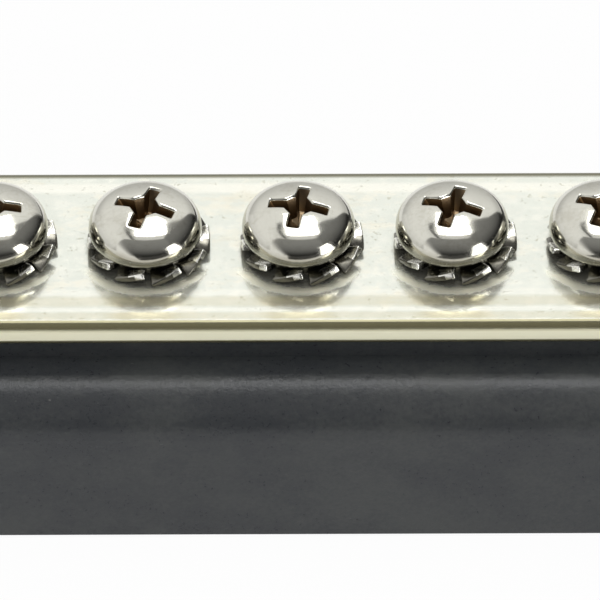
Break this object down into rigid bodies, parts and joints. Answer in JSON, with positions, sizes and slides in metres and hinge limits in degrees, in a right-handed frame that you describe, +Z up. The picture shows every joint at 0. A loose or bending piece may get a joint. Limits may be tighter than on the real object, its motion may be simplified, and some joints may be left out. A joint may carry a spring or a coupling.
{
  "type": "bus bar",
  "caption": "Straight screw-terminal bus bar: a flat tin-plated bar on a black moulded base with an ear at each end, and a row of pan-head screws on toothed lock washers.",
  "frame": {"origin": "centre of the base's bottom face, midway between the mounting holes", "axes": "+X along the bar, +Z up through the terminal screws, -Y towards the side that the picture shows"},
  "size_m": [0.098, 0.0264, 0.0206],
  "materials": {
    "black_moulding": "fine moulded grain",
    "tin_plate": "satin tin plate",
    "plated_steel": "bright plated"
  },
  "bodies": {
    "bar_on_base": {"base": "black_moulding", "bus_bar": "tin_plate", "bar_fixing_screw_1": "plated_steel", "bar_fixing_screw_2": "plated_steel"},
    "washer_1": {"lock_washer_1": "plated_steel"},
    "screw_1": {"terminal_screw_1": "plated_steel"},
    "washer_2": {"lock_washer_2": "plated_steel"},
    "screw_2": {"terminal_screw_2": "plated_steel"},
    "washer_3": {"lock_washer_3": "plated_steel"},
    "screw_3": {"terminal_screw_3": "plated_steel"},
    "washer_4": {"lock_washer_4": "plated_steel"},
    "screw_4": {"terminal_screw_4": "plated_steel"},
    "washer_5": {"lock_washer_5": "plated_steel"},
    "screw_5": {"terminal_screw_5": "plated_steel"}
  },
  "joints": [
    {"name": "screw_1_lift", "type": "slide", "parent": "bar_on_base", "child": "washer_1", "axis": [0, 0, 1], "range_m": [0, 0.00635]},
    {"name": "screw_1_turn", "type": "hinge", "parent": "washer_1", "child": "screw_1", "pos_m": [-0.0222, 0, 0.0165], "axis": [0, 0, 1], "range_deg": [0, 2881]},
    {"name": "screw_2_lift", "type": "slide", "parent": "bar_on_base", "child": "washer_2", "axis": [0, 0, 1], "range_m": [0, 0.00635]},
    {"name": "screw_2_turn", "type": "hinge", "parent": "washer_2", "child": "screw_2", "pos_m": [-0.0111, 0, 0.0165], "axis": [0, 0, 1], "range_deg": [0, 2881]},
    {"name": "screw_3_lift", "type": "slide", "parent": "bar_on_base", "child": "washer_3", "axis": [0, 0, 1], "range_m": [0, 0.00635]},
    {"name": "screw_3_turn", "type": "hinge", "parent": "washer_3", "child": "screw_3", "pos_m": [0, 0, 0.0165], "axis": [0, 0, 1], "range_deg": [0, 2881]},
    {"name": "screw_4_lift", "type": "slide", "parent": "bar_on_base", "child": "washer_4", "axis": [0, 0, 1], "range_m": [0, 0.00635]},
    {"name": "screw_4_turn", "type": "hinge", "parent": "washer_4", "child": "screw_4", "pos_m": [0.0111, 0, 0.0165], "axis": [0, 0, 1], "range_deg": [0, 2881]},
    {"name": "screw_5_lift", "type": "slide", "parent": "bar_on_base", "child": "washer_5", "axis": [0, 0, 1], "range_m": [0, 0.00635]},
    {"name": "screw_5_turn", "type": "hinge", "parent": "washer_5", "child": "screw_5", "pos_m": [0.0222, 0, 0.0165], "axis": [0, 0, 1], "range_deg": [0, 2881]}
  ],
  "couplings": [
    {"joint": "screw_1_turn", "follows": "screw_1_lift", "rad_per_m": 7915.8},
    {"joint": "screw_2_turn", "follows": "screw_2_lift", "rad_per_m": 7915.8},
    {"joint": "screw_3_turn", "follows": "screw_3_lift", "rad_per_m": 7915.8},
    {"joint": "screw_4_turn", "follows": "screw_4_lift", "rad_per_m": 7915.8},
    {"joint": "screw_5_turn", "follows": "screw_5_lift", "rad_per_m": 7915.8}
  ]
}
